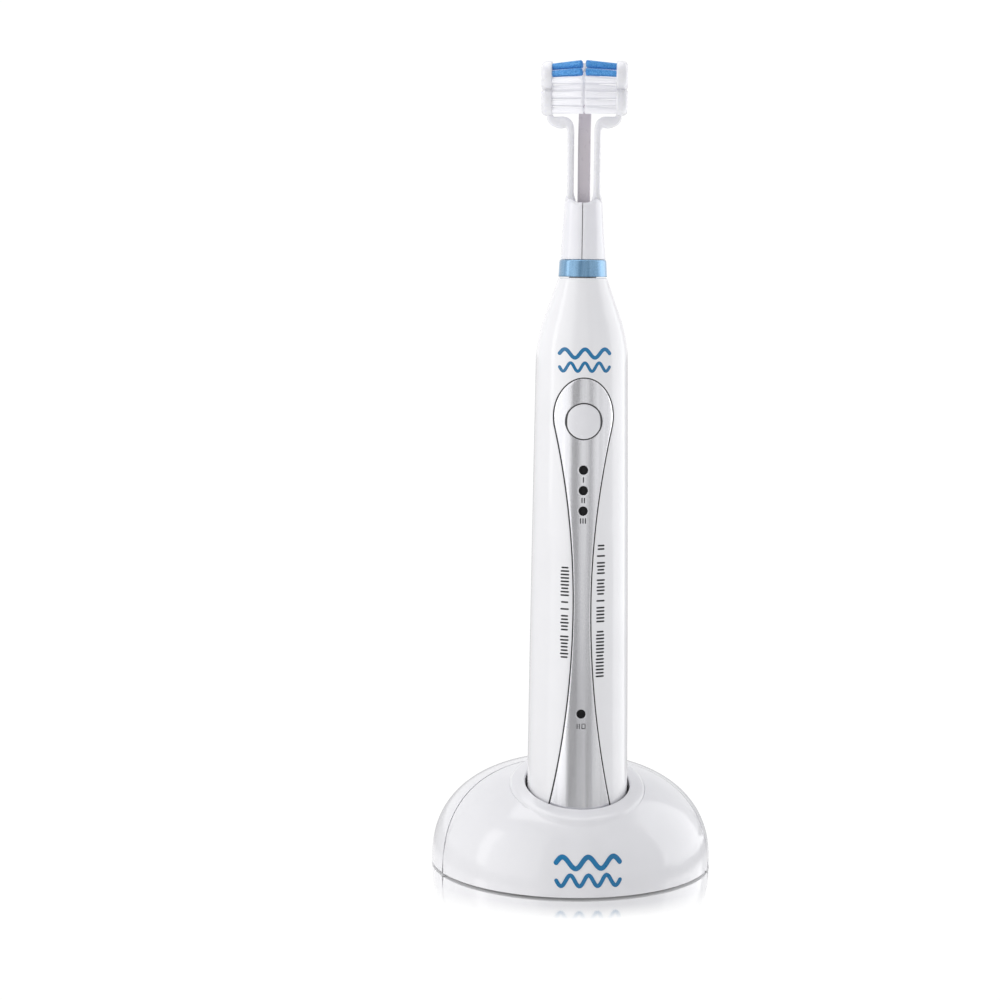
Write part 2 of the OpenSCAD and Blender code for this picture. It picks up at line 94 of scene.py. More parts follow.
class Nodes:
    """A short way to write a node tree."""

    def __init__(self, name, **values):
        self.mat = bpy.data.materials.new(name)
        self.mat.use_nodes = True
        self.tree = self.mat.node_tree
        self.bsdf = self.tree.nodes["Principled BSDF"]
        self.set(self.bsdf, **values)

    def set(self, node, **values):
        for key, value in values.items():
            node.inputs[key.replace("_", " ")].default_value = value

    def add(self, kind, links=None, **values):
        node = self.tree.nodes.new("ShaderNode" + kind)
        for key, value in values.items():
            if hasattr(node, key):
                setattr(node, key, value)
            else:
                node.inputs[key.replace("_", " ")].default_value = value
        for key, socket in (links or {}).items():
            self.link(socket, node.inputs[key])
        return node

    def link(self, socket, target):
        self.tree.links.new(socket, target)

    def place(self, scale=(1, 1, 1)):
        where = self.add("TexCoord").outputs["Object"]
        return self.add("Mapping", {"Vector": where}, Scale=scale).outputs[0]

    def noise(self, size, detail=3.0, stretch=(1, 1, 1)):
        """Noise whose features are about `size` millimetres."""
        k = 1.0 / (size * MM)
        where = self.place([k * s for s in stretch])
        return self.add("TexNoise", {"Vector": where}, Scale=1.0, Detail=detail, Roughness=0.5).outputs[0]

    def ramp(self, socket, stops):
        node = self.add("ValToRGB", {"Fac": socket})
        elements = node.color_ramp.elements
        while len(elements) < len(stops):
            elements.new(0.5)
        for element, (at, colour) in zip(elements, stops):
            element.position = at
            element.color = (*colour, 1) if len(colour) == 3 else colour
        return node.outputs[0]

    def remap(self, socket, ends, low, high):
        node = self.add("MapRange", {"Value": socket}, From_Min=ends[0], From_Max=ends[1], To_Min=low, To_Max=high)
        return node.outputs[0]

    def level(self, socket, low, high):
        """Spreads a noise, which mostly lies between 0.3 and 0.7, over low to high."""
        return self.remap(socket, (0.3, 0.7), low, high)

    def total(self, a, b):
        return self.add("Math", {0: a, 1: b}, operation="ADD").outputs[0]

    def bump(self, socket, depth, strength=1.0):
        node = self.add("Bump", {"Height": socket}, Strength=strength, Distance=depth * MM)
        self.link(node.outputs[0], self.bsdf.inputs["Normal"])


def plastic(name, colour, shade, rough, peel, coat=0.0, specular=0.5, subsurface=0.0):
    """Moulded plastic: a faint cloudiness in the colour, uneven gloss and a fine orange peel."""
    m = Nodes(name, Specular_IOR_Level=specular, Coat_Weight=coat, Coat_Roughness=0.05)
    if subsurface:
        m.set(m.bsdf, Subsurface_Weight=subsurface, Subsurface_Scale=0.001, Subsurface_Radius=(1.0, 1.0, 1.1))
    dark = tuple(c * shade for c in colour)
    m.link(m.ramp(m.noise(9.0), [(0.35, dark), (0.65, colour)]), m.bsdf.inputs["Base Color"])
    m.link(m.level(m.noise(3.0), rough * 0.85, rough * 1.2), m.bsdf.inputs["Roughness"])
    m.bump(m.noise(1.2, 2.0), peel)
    return m.mat


def metal(name, colour, rough, stretch=(1, 1, 1), size=0.4):
    """Bare metal with a grain: its features are `size` millimetres, times or over the stretch on each axis."""
    m = Nodes(name, Metallic=1.0)
    streak = m.noise(size, 3.0, stretch)
    dark = tuple(c * 0.85 for c in colour)
    m.link(m.ramp(streak, [(0.3, dark), (0.7, colour)]), m.bsdf.inputs["Base Color"])
    m.link(m.level(streak, rough * 0.8, rough * 1.3), m.bsdf.inputs["Roughness"])
    m.bump(streak, 0.004)
    return m.mat


def satin_silver():
    """The inlay: metallised satin plastic, with a fine metallic grain and faint upright streaks."""
    m = Nodes("satin_silver", Metallic=0.9, Coat_Weight=0.1, Coat_Roughness=0.2)
    streak = m.noise(1.1, 2.0, (1, 1, 0.02))
    flake = m.noise(0.16, 1.0)
    broad = m.noise(7.0, 1.0, (1, 1, 0.12))
    mean = m.add("Math", {0: m.total(m.total(streak, flake), broad)}, operation="DIVIDE")
    mean.inputs[1].default_value = 3.0
    tint = m.ramp(mean.outputs[0], [(0.38, (0.68, 0.68, 0.71)), (0.62, (0.85, 0.85, 0.88))])
    m.link(tint, m.bsdf.inputs["Base Color"])
    m.link(m.level(flake, 0.17, 0.25), m.bsdf.inputs["Roughness"])
    m.bump(flake, 0.009, 0.9)
    return m.mat


def pearl_blue():
    """The neck ring: a pearly lacquer with faint upright streaks."""
    m = Nodes("pearl_blue", Metallic=0.5, Coat_Weight=0.5, Coat_Roughness=0.08)
    streak = m.noise(0.9, 3.0, (1, 1, 0.06))
    tint = m.ramp(streak, [(0.3, (0.12, 0.26, 0.43)), (0.7, (0.21, 0.39, 0.58))])
    m.link(tint, m.bsdf.inputs["Base Color"])
    m.link(m.level(m.noise(0.15), 0.22, 0.36), m.bsdf.inputs["Roughness"])
    m.bump(m.noise(0.12, 2.0), 0.004)
    return m.mat


def nylon(name, root, tip, glow):
    """Bristle filament: clear nylon with a varying tint. Its faint glow stands for light scattered within the tuft."""
    m = Nodes(name, Specular_IOR_Level=0.5, Roughness=0.3)
    tint = m.ramp(m.noise(0.22, 2.0), [(0.35, root), (0.65, tip)])
    m.link(tint, m.bsdf.inputs["Base Color"])
    m.link(tint, m.bsdf.inputs["Emission Color"])
    m.set(m.bsdf, Emission_Strength=glow)
    through = m.add("BsdfTranslucent", {"Color": tint})
    share = m.level(m.noise(0.6), 0.25, 0.4)
    mix = m.add("MixShader", {0: share, 1: m.bsdf.outputs[0], 2: through.outputs[0]})
    m.link(mix.outputs[0], m.tree.nodes["Material Output"].inputs["Surface"])
    m.bump(m.noise(0.08, 2.0), 0.003)
    return m.mat


WHITE = (0.86, 0.86, 0.88)
MAT = {
    "shell": plastic("shell_white", WHITE, 0.985, 0.14, 0.003, coat=0.1),
    "base": plastic("base_white", (0.82, 0.82, 0.845), 0.985, 0.13, 0.0005),
    "button": plastic("button_white", (0.80, 0.80, 0.83), 0.98, 0.24, 0.006),
    "inner": plastic("inner_plastic", (0.52, 0.52, 0.54), 0.95, 0.42, 0.01),
    "neck": plastic("neck_white", (0.83, 0.83, 0.87), 0.98, 0.18, 0.003, coat=0.2, subsurface=0.15),
    "pad": plastic("pad_white", (0.82, 0.82, 0.85), 0.97, 0.26, 0.006, subsurface=0.3),
    # The rear stem's material is a darker grey copy of the pads' white: painted shade, for the shadow it stands in
    # between the side arms.
    "stem": plastic("rear_stem_painted_shade", (0.62, 0.58, 0.62), 0.95, 0.3, 0.005, subsurface=0.2),
    "rubber": plastic("rubber_grey", (0.07, 0.07, 0.075), 0.85, 0.62, 0.02),
    "lens": plastic("lens_black", (0.004, 0.004, 0.005), 0.8, 0.12, 0.0, specular=0.25),
    "mark": plastic("mark_dark", (0.012, 0.012, 0.015), 0.9, 0.4, 0.001),
    "faint_mark": plastic("mark_grey", (0.022, 0.022, 0.026), 0.9, 0.4, 0.001),
    "blue_mark": plastic("mark_blue", (0.006, 0.18, 0.40), 0.85, 0.3, 0.001),
    "board": plastic("board_green", (0.02, 0.14, 0.06), 0.8, 0.35, 0.01),
    "yellow": plastic("tape_yellow", (0.62, 0.40, 0.04), 0.9, 0.4, 0.01),
    "sleeve": plastic("sleeve_blue", (0.02, 0.07, 0.32), 0.85, 0.25, 0.005),
    "ivory": plastic("ivory_plastic", (0.75, 0.70, 0.62), 0.95, 0.35, 0.01),
    # The well cup is dark grey as painted shade: it stands for the shadow deep in the gap round the handle.
    "well": plastic("well_cup_painted_shade", (0.10, 0.10, 0.105), 0.9, 0.4, 0.006),
    # Also used for the dark strip and the dark ring in the inlay's and the button's gaps, where it is painted shade.
    "dark": plastic("dark_plastic", (0.03, 0.03, 0.03), 0.85, 0.4, 0.01),
    "silver": satin_silver(),
    "ring": pearl_blue(),
    "steel": metal("steel", (0.62, 0.62, 0.64), 0.28, (1, 1, 0.1)),
    "copper": metal("copper_winding", (0.72, 0.30, 0.14), 0.3, (0.2, 0.2, 3)),
    "bronze": metal("bronze", (0.62, 0.42, 0.2), 0.42, size=0.2),
    "iron": metal("laminated_iron", (0.16, 0.16, 0.17), 0.5, (0.3, 0.3, 3)),
    "nylon_blue": nylon("nylon_blue", (0.03, 0.26, 0.62), (0.22, 0.60, 0.94), 0.17),
    "nylon_white": nylon("nylon_white", (0.90, 0.90, 0.93), (0.97, 0.97, 0.98), 0.16),
}

NODE_LOOK = {
    "inner": ["base_plate", "cord_gland", "inner_frame", "tact_switch"],
    "shell": ["end_cap"],
    "rubber": ["foot_pads", "end_cap_seal", "shaft_seal", "button_seal"],
    "steel": ["base_screws", "battery_contact_top", "battery_contact_bottom", "motor_can", "motor_end_plate",
              "drive_shaft", "shaft_clip"],
    "iron": ["ferrite_core", "stator_core", "rotor_magnet"],
    "copper": ["primary_coil", "secondary_coil", "stator_coils"],
    "board": ["charger_board", "control_board"],
    "yellow": ["supply_transformer"],
    "sleeve": ["filter_capacitor", "battery_cell"],
    "ivory": ["primary_bobbin", "indicator_leds"],
    "dark": ["driver_chip"],
    "well": ["well_cup"],
    "bronze": ["front_bearing", "rear_bearing"],
}


def dress_nodes():
    for look, names in NODE_LOOK.items():
        for name in names:
            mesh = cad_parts[name].data
            mesh.materials.clear()
            mesh.materials.append(MAT[look])


# ------------------------------------------------------------------ mesh building


class Shell:
    """Quads gathered in millimetres. Corners that meet are merged when the piece is built."""

    def __init__(self, place=seat):
        self.place = place
        self.points = []
        self.faces = []

    def grid(self, rows, close=False):
        start, n = len(self.points), len(rows[0])
        for row in rows:
            self.points.extend(row)
        for i in range(len(rows) - 1):
            for j in range(n if close else n - 1):
                k = (j + 1) % n
                a, b = start + i * n, start + (i + 1) * n
                self.faces.append((a + j, a + k, b + k, b + j))

    def turn(self, profile, n=128, x=0.0, y=0.0):
        """A body of revolution about the axis, from (radius, height) pairs."""
        rows = []
        for r, z in profile:
            rows.append([(x + r * math.sin(TAU * i / n), y - r * math.cos(TAU * i / n), z) for i in range(n)])
        self.grid(rows, close=True)

    def build(self, name, look, body, replaces=(), merge=0.004, sharp=40, blend=None):
        mesh = bpy.data.meshes.new(name)
        mesh.from_pydata([self.place(*p) for p in self.points], [], self.faces)
        bm = bmesh.new()
        bm.from_mesh(mesh)
        bmesh.ops.remove_doubles(bm, verts=bm.verts, dist=merge * MM)
        bmesh.ops.dissolve_degenerate(bm, dist=merge * MM * 0.1, edges=bm.edges)
        loose = [v for v in bm.verts if not v.link_faces]
        bmesh.ops.delete(bm, geom=loose, context="VERTS")
        bmesh.ops.recalc_face_normals(bm, faces=bm.faces)
        bm.to_mesh(mesh)
        bm.free()
        mesh.polygons.foreach_set("use_smooth", [True] * len(mesh.polygons))
        mesh.set_sharp_from_angle(angle=math.radians(sharp))
        mesh.materials.append(MAT[look])
        piece = bpy.data.objects.new(name, mesh)
        bpy.context.scene.collection.objects.link(piece)
        if blend:
            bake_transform(piece)
        else:
            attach(piece, body)
        if replaces:
            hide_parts(*replaces)
        return piece


def band(shell, loop, profile, surface):
    """Walls along a closed loop drawn on a surface: profile is (distance out of the loop, depth) pairs."""
    n = len(loop)
    area = sum(loop[i][0] * loop[(i + 1) % n][1] - loop[(i + 1) % n][0] * loop[i][1] for i in range(n))
    side = 1 if area > 0 else -1
    normals = []
    for i in range(n):
        (x0, z0), (x1, z1) = loop[i - 1], loop[(i + 1) % n]
        length = math.hypot(x1 - x0, z1 - z0) or 1.0
        normals.append((side * (z1 - z0) / length, -side * (x1 - x0) / length))
    rows = []
    for out, depth in profile:
        rows.append([surface(x + nx * out, z + nz * out, depth) for (x, z), (nx, nz) in zip(loop, normals)])
    shell.grid(rows, close=True)


PRINT_LIFT = 0.02       # how far a print stands off its surface
PRINT_STEP = 0.45       # longest piece of a printed line


def stroke(shell, path, width, surface):
    """A printed line with round ends that follows a surface."""
    dense = []
    for (x0, z0), (x1, z1) in zip(path, path[1:]):
        n = max(1, math.ceil(math.hypot(x1 - x0, z1 - z0) / PRINT_STEP))
        dense += [(lerp(x0, x1, i / n), lerp(z0, z1, i / n)) for i in range(n)]
    dense.append(path[-1])
    half = width / 2
    lines = [[], [], []]
    for i, (x, z) in enumerate(dense):
        (x0, z0), (x1, z1) = dense[max(0, i - 1)], dense[min(len(dense) - 1, i + 1)]
        length = math.hypot(x1 - x0, z1 - z0) or 1.0
        nx, nz = -(z1 - z0) / length, (x1 - x0) / length
        for k, s in enumerate((-half, 0, half)):
            lines[k].append(surface(x + nx * s, z + nz * s, -PRINT_LIFT))
    shell.grid(lines)
    for end, inner in ((dense[0], dense[1]), (dense[-1], dense[-2])):
        away = math.atan2(end[1] - inner[1], end[0] - inner[0])
        fans = []
        for r in (0, half * 0.5, half):
            turns = [away + a for a in steps(-math.pi / 2, math.pi / 2, 8)]
            fans.append([surface(end[0] + r * math.cos(a), end[1] + r * math.sin(a), -PRINT_LIFT) for a in turns])
        shell.grid(fans)


def sweep(shell, path, section, depth_axis):
    """Carries a closed section along a path and caps it. Each path entry is (point, half width, half depth)."""
    axis = Vector(depth_axis)
    rows = []
    for i, (point, half_w, half_d) in enumerate(path):
        before = Vector(path[max(0, i - 1)][0])
        after = Vector(path[min(len(path) - 1, i + 1)][0])
        along = (after - before).normalized()
        across = axis.cross(along).normalized()
        p = Vector(point)
        rows.append([tuple(p + across * (half_w * u) + axis * (half_d * v)) for u, v in section])
    shell.grid(rows, close=True)
    for row in (rows[0], rows[-1]):
        centre = tuple(sum(p[k] for p in row) / len(row) for k in range(3))
        shell.grid([row, [centre] * len(row)], close=True)


def rounded(n=24, power=3.2):
    """A unit section between a circle and a square."""
    out = []
    for i in range(n):
        a = TAU * i / n
        c, s = math.cos(a), math.sin(a)
        out.append((math.copysign(abs(c) ** (2 / power), c), math.copysign(abs(s) ** (2 / power), s)))
    return out


# ------------------------------------------------------------------ handle

CAP_Z, SHOULDER_Z, TAPER_Z, NOSE_Z = 8.4, 150.0, 162, 173.2
FOOT_R, SHOULDER_R, TAPER_R, NOSE_R = 14.65, 13.1, 10.9, 6.9
NOSE_EDGE_Z = NOSE_Z - 0.4      # where the nose's rounded edge starts


def handle_r(z):
    """The housing's radius: a long slight taper, a shoulder (a parabola in z, solved for t) and a cone."""
    if z <= SHOULDER_Z:
        return FOOT_R - (FOOT_R - SHOULDER_R) * (z / SHOULDER_Z) ** 1.4
    if z <= TAPER_Z:
        t = (-11.6 + math.sqrt(11.6 ** 2 + 1.6 * (z - SHOULDER_Z))) / 0.8
        return (1 - t) ** 2 * SHOULDER_R + 2 * t * (1 - t) * (SHOULDER_R - 0.1) + t * t * TAPER_R
    return lerp(TAPER_R, NOSE_R + 0.15, (z - TAPER_Z) / (NOSE_EDGE_Z - TAPER_Z))


def on_handle(x, z, depth=0.0):
    """The handle's front surface seen from the front, less a depth."""
    r = handle_r(z) - depth
    return (x, -math.sqrt(max(0.0, r * r - x * x)), z)


PANEL_BOTTOM, PANEL_TOP, WAIST, WAIST_HALF = 16.0, 145.2, 80.9, 2.34
ROUND_Z, ROUND_HALF, JOIN_Z = 134.47, 8.25, 131.5
LENS_Z = [119.6, 113.83, 108.06]
CHARGE_Z, BUTTON_Z, BUTTON_R, LENS_R = 50.3, 133.2, 5.1, 1.25
# heights where the inlay's mesh changes between plain rows and a patch round a lens
BREAKS = [PANEL_BOTTOM, 47.8, 52.8, 105.4, 110.9, 116.8, 122.5, 129.6]
COUNTS = [14, 8, 26, 8, 8, 8, 5]
ACROSS = 16                             # mesh columns across the inlay
HOUSING_OFF, INLAY_OFF = 0.42, -0.12    # from the inlay's nominal outline to the pocket's and the inlay's edges


def panel_side(off):
    """The inlay's right-hand outline moved outwards, from the bottom to the top, and where its breaks are."""
    points, marks = [], [0]
    for i, n in enumerate(COUNTS):
        for k in range(n):
            z = lerp(BREAKS[i], BREAKS[i + 1], k / n)
            curve = 0.002183 if z > WAIST else 0.00189
            half = WAIST_HALF + curve * (z - WAIST) ** 2
            lean = math.hypot(1, 2 * curve * (z - WAIST))
            points.append((half + off * lean, z - (off if i == 0 and k == 0 else 0)))
        marks.append(len(points))
    start = math.asin((JOIN_Z - ROUND_Z) / (PANEL_TOP - ROUND_Z))
    for a in steps(start, math.pi / 2, 30):
        points.append(((ROUND_HALF + off) * math.cos(a), ROUND_Z + (PANEL_TOP - ROUND_Z + off) * math.sin(a)))
    points[-1] = (0.0, points[-1][1])
    return points, marks


def whole_loop(side):
    """Closes the right-hand outline with its mirror image and the bottom edge."""
    left = [(-x, z) for x, z in reversed(side[:-1])]
    x0, z0 = side[0]
    bottom = [(x, z0) for x in steps(-x0, x0, ACROSS)][1:-1]
    return side + left + bottom


def make_housing():
    shell = Shell()
    side, _ = panel_side(HOUSING_OFF)
    n = 132

    def arc(z, a0, a1, count):
        r = handle_r(z)
        return [(r * math.sin(a), -r * math.cos(a), z) for a in steps(a0, a1, count)]

    rows = []
    for x, z in side:
        edge = math.asin(min(1, x / handle_r(z)))
        rows.append(arc(z, edge, TAU - edge, n))
    shell.grid(rows)
    for z0, z1, count in ((side[-1][1], SHOULDER_Z, 6), (SHOULDER_Z, TAPER_Z, 14), (TAPER_Z, NOSE_EDGE_Z, 10)):
        shell.grid([arc(z, 0, TAU, n) for z in steps(z0, z1, count)])
    x0, z0 = side[0]
    edge = math.asin(x0 / handle_r(z0))
    heights = [CAP_Z + 0.1] + steps(CAP_Z + 0.3, z0, 5)
    shell.grid([arc(z, edge, TAU - edge, n) for z in heights])
    front = []
    for z in heights:
        r = handle_r(z)
        front.append([(x, -math.sqrt(r * r - x * x), z) for x in steps(-x0, x0, ACROSS)])
    shell.grid(front)
    pocket = [(0, 0), (-0.04, 0.012), (-0.075, 0.05), (-0.08, 0.12), (-0.08, 0.72), (-1.4, 0.72)]
    band(shell, whole_loop(side), pocket, on_handle)
    r = handle_r(NOSE_EDGE_Z)
    nose = [(r, NOSE_EDGE_Z), (r - 0.08, NOSE_Z - 0.2), (r - 0.22, NOSE_Z - 0.07), (r - 0.42, NOSE_Z)]
    boss = [(3.95, NOSE_Z), (3.9, NOSE_Z + 0.05), (3.9, 174.8), (3.82, 174.95), (3.7, 175), (3.02, 175), (3.0, 170)]
    shell.turn(nose + boss, n)
    foot = handle_r(CAP_Z + 0.1)
    shell.turn([(foot, CAP_Z + 0.1), (foot - 0.08, CAP_Z), (foot - 1.7, CAP_Z), (foot - 1.7, CAP_Z + 8)], n)
    shell.build("handle_housing_shell", "shell", "handle", ["handle_housing"])


def hole_patch(shell, boundary, centre, radius, rings):
    """Fills the space between a hole and a closed boundary on the handle's front."""
    rows = []
    inner = []
    for x, z in boundary:
        length = math.hypot(x, z - centre) or 1.0
        inner.append((radius * x / length, centre + radius * (z - centre) / length))
    for i in range(rings + 1):
        t = (i / rings) ** 1.3
        rows.append([on_handle(lerp(a, x, t), lerp(b, z, t)) for (a, b), (x, z) in zip(inner, boundary)])
    shell.grid(rows, close=True)
    return inner


def make_inlay():
    shell = Shell()
    side, marks = panel_side(INLAY_OFF)

    def row(x, z):
        return [(v, z) for v in steps(-x, x, ACROSS)]

    def plain_rows(i, j):
        shell.grid([[on_handle(*p) for p in row(x, z)] for x, z in side[i:j + 1]])

    def closed(i, j):
        low, high = row(*side[i]), row(*side[j])
        right = side[i + 1:j]
        left = [(-x, z) for x, z in reversed(right)]
        return low + right + list(reversed(high)) + left

    plain_rows(marks[0], marks[1])
    plain_rows(marks[2], marks[3])
    holes = []
    for i, z in ((1, CHARGE_Z), (3, LENS_Z[2]), (4, LENS_Z[1]), (5, LENS_Z[0])):
        holes.append(hole_patch(shell, closed(marks[i], marks[i + 1]), z, LENS_R + 0.12, 6))
    top = side[marks[6] + 1:]
    boundary = row(*side[marks[6]]) + top + [(-x, z) for x, z in reversed(top[:-1])]
    holes.append(hole_patch(shell, boundary, BUTTON_Z, BUTTON_R + 0.19, 12))
    for hole in holes:
        ledge = 0.4 if hole is holes[-1] else -0.7    # the button moves in through its hole, so no ledge there
        wall = [(0, 0), (-0.03, 0.012), (-0.055, 0.04), (-0.06, 0.1), (-0.06, 1.4), (ledge, 1.4)]
        band(shell, hole, wall, on_handle)
    rim = [(0, 0), (0.05, 0.015), (0.095, 0.05), (0.12, 0.12), (0.12, 0.7)]
    band(shell, whole_loop(side), rim, on_handle)
    shell.build("inlay_panel_skin", "silver", "handle", ["inlay_panel"])
    # A dark strip laid in the pocket under the inlay's edge gap: painted shade, standing for the shadow in the gap.
    shade_strip = Shell()
    band(shade_strip, whole_loop(side), [(0.08, 0.62), (0.1, 0.26), (0.46, 0.26), (0.46, 0.62)], on_handle)
    shade_strip.build("inlay_gap_shade", "dark", "handle")


def puck(shell, centre, profile, n):
    """A round piece let into the handle's front, from (radius, depth) pairs."""
    rows = []
    for r, depth in profile:
        circle = [(r * math.cos(TAU * i / n), centre + r * math.sin(TAU * i / n)) for i in range(n)]
        rows.append([on_handle(x, z, depth) for x, z in circle])
    shell.grid(rows, close=True)


def make_button():
    shell = Shell()
    crown = [(0, -0.16), (1.2, -0.16), (2.4, -0.155), (3.5, -0.145), (4.2, -0.13), (4.6, -0.105), (4.76, -0.06)]
    skirt = [(4.84, 0.01), (4.87, 0.1), (4.88, 0.5), (5.1, 0.7), (5.1, 1.3), (2.0, 1.3), (1.8, 1.9), (0, 1.9)]
    puck(shell, BUTTON_Z, crown + skirt, 72)
    shell.build("power_button_cap", "button", "power_button", ["power_button"])
    # A dark ring in the gap round the button: painted shade, standing for the shadow in the gap.
    rim = Shell()
    puck(rim, BUTTON_Z, [(4.91, 0.55), (4.93, 0.17), (5.26, 0.17), (5.27, 0.6)], 72)
    rim.build("button_gap_shade", "dark", "handle")


def make_lenses():
    for name, z in zip(("mode_lens_1", "mode_lens_2", "mode_lens_3", "charge_lens"), LENS_Z + [CHARGE_Z]):
        shell = Shell()
        dome = [(0, -0.05), (0.5, -0.045), (0.9, -0.02), (1.12, 0.02), (1.22, 0.08), (LENS_R, 0.18)]
        puck(shell, z, dome + [(LENS_R, 1.3), (0, 1.3)], 40)
        shell.build(name + "_dome", "lens", "handle", [name])


def bars(shell, x, z, count, height, pitch, width, surface):
    """Upright printed bars side by side."""
    for i in range(count):
        at = x + (i - (count - 1) / 2) * pitch
        stroke(shell, [(at, z - height / 2), (at, z + height / 2)], width, surface)


def motif(shell, x, z, wide, surface):
    """A made-up sign: two rows of waves."""
    for row, (dz, weight, cycles) in enumerate(((0.0, 0.075, 2.5), (-0.27, 0.062, 3.5))):
        line = []
        for i in range(61):
            t = i / 60
            swing = 0.085 * math.sin(TAU * cycles * t + math.pi * row)
            line.append((x + wide * (t - 0.5), z + wide * (dz + swing)))
        stroke(shell, line, weight * wide, surface)


def make_handle_prints():
    fine = Shell()
    for count, z in zip((1, 2, 3), LENS_Z):
        bars(fine, 0, z - 2.75, count, 1.25, 0.68, 0.32, on_handle)
    bars(fine, -0.75, CHARGE_Z - 3.5, 2, 1.3, 0.6, 0.24, on_handle)
    box = [(0.3, -4.15), (1.2, -4.15), (1.2, -2.85), (0.3, -2.85), (0.3, -4.15)]
    stroke(fine, [(x, CHARGE_Z + z) for x, z in box], 0.22, on_handle)
    fine.build("indicator_marks", "faint_mark", "handle")
    dark = Shell()
    chance = random.Random(11)
    tick_pitch, tick_width, gap_share = 0.98, 0.48, 0.13
    for x, low, high in ((-4.9, 66.5, 92.0), (5.25, 61.0, 98.6)):
        z = low
        while z < high:
            if chance.random() > gap_share:
                long = chance.choice((1.9, 1.9, 1.5))
                stroke(dark, [(x - long / 2, z), (x + long / 2, z)], tick_width, on_handle)
            z += tick_pitch
    dark.build("side_tick_rows", "mark", "handle")
    blue = Shell()
    motif(blue, 0.1, 152.2, 14.0, on_handle)
    blue.build("handle_motif", "blue_mark", "handle")


# ------------------------------------------------------------------ brush head

RING_Z, RING_TOP = 173.5, 178.3
NECK_Z, NECK_FULL_Z, NECK_END_Z = 178.4, 178.6, 194
NECK_R, NECK_TOP_Z, NECK_TOP_R = 6.4, 195, 5.3
PAD_X, PAD_Y, PAD_T = 9.0, -0.6, 3.1
PAD_WALL, PAD_ROUND = 1.15, 0.5         # where a pad's outer rounding starts, and its inner edge's rounding
LOBES = [(222.4, 3.95), (229.55, 4.25)]     # a side pad's two round lobes: height and radius
STEM_X, STEM_Y, BEND_Z = 3.75, -0.2, 213.9
STEM_W, STEM_D, ELBOW_W, HEEL_W = 0.95, 1.25, 1.65, 0.8
TUFT_R, TUFT_LEAN, FILAMENT_R = 0.78, 3.1, 0.095


def make_ring():
    shell = Shell(head)
    lower = [(5.35, RING_Z), (6.7, RING_Z), (6.82, RING_Z + 0.04), (6.89, RING_Z + 0.14), (6.9, RING_Z + 0.3)]
    upper = [(6.82, 175), (6.73, 176.6), (6.68, RING_TOP - 0.7), (6.62, RING_TOP - 0.32), (6.48, RING_TOP - 0.1)]
    shell.turn(lower + upper + [(6.25, RING_TOP - 0.01), (5.35, RING_TOP)])
    shell.build("neck_ring_band", "ring", "brush_head", ["neck_ring"])


def neck_r(z):
    return lerp(NECK_R, NECK_TOP_R, (z - NECK_Z) / (NECK_TOP_Z - NECK_Z))


def neck_top(x):
    """The neck's top: a shallow dip where the two halves meet."""
    return 194.3 + 1.15 * smooth((abs(x) - 1.0) / 3.0)


def make_neck(side, name):
    shell = Shell(head)
    gap = 0.1
    n = 56

    def row(r, z_of):
        edge = math.asin(gap / r)
        out = []
        for a in steps(edge, math.pi - edge, n):
            x, y = r * math.sin(a), -r * math.cos(a)
            out.append((side * x, y, z_of(x)))
        return [(side * gap, out[0][1] + 0.9, out[0][2]), (side * gap, out[0][1] + 0.05, out[0][2])] + out + [
            (side * gap, out[-1][1] - 0.05, out[-1][2]), (side * gap, out[-1][1] - 0.9, out[-1][2])]

    lower = [(2.05, 186), (2.05, 176), (4.3, 176), (4.3, 174), (5.28, 174), (5.3, 174.1), (5.3, 178.36)]
    rows = [row(r, lambda x, z=z: z) for r, z in lower]
    for inset, z in ((0.12, 178.38), (0.02, 178.46), (0, NECK_FULL_Z)):
        rows.append(row(NECK_R - inset, lambda x, z=z: z))
    crown = 1.5
    for t in steps(0.03, 1, 22):
        r = neck_r(lerp(NECK_FULL_Z, NECK_END_Z, t))
        rows.append(row(r, lambda x, t=t: lerp(NECK_FULL_Z, neck_top(x) - crown, t)))
    for a in steps(0.15, math.pi / 2, 6):
        inset = 1.1 * (1 - math.cos(a))
        rows.append(row(neck_r(NECK_END_Z) - inset, lambda x, a=a: neck_top(x) - crown * (1 - math.sin(a))))
    for r in (3.7, 3.2, 2.6, 2.0, 1.4, 0.8, 0.3):
        rows.append(row(r, neck_top))
    shell.grid(rows)
    shell.build(name + "_shell", "neck", "brush_head", [name])


def bezier(points, t):
    while len(points) > 1:
        points = [tuple(lerp(a, b, t) for a, b in zip(p, q)) for p, q in zip(points, points[1:])]
    return points[0]


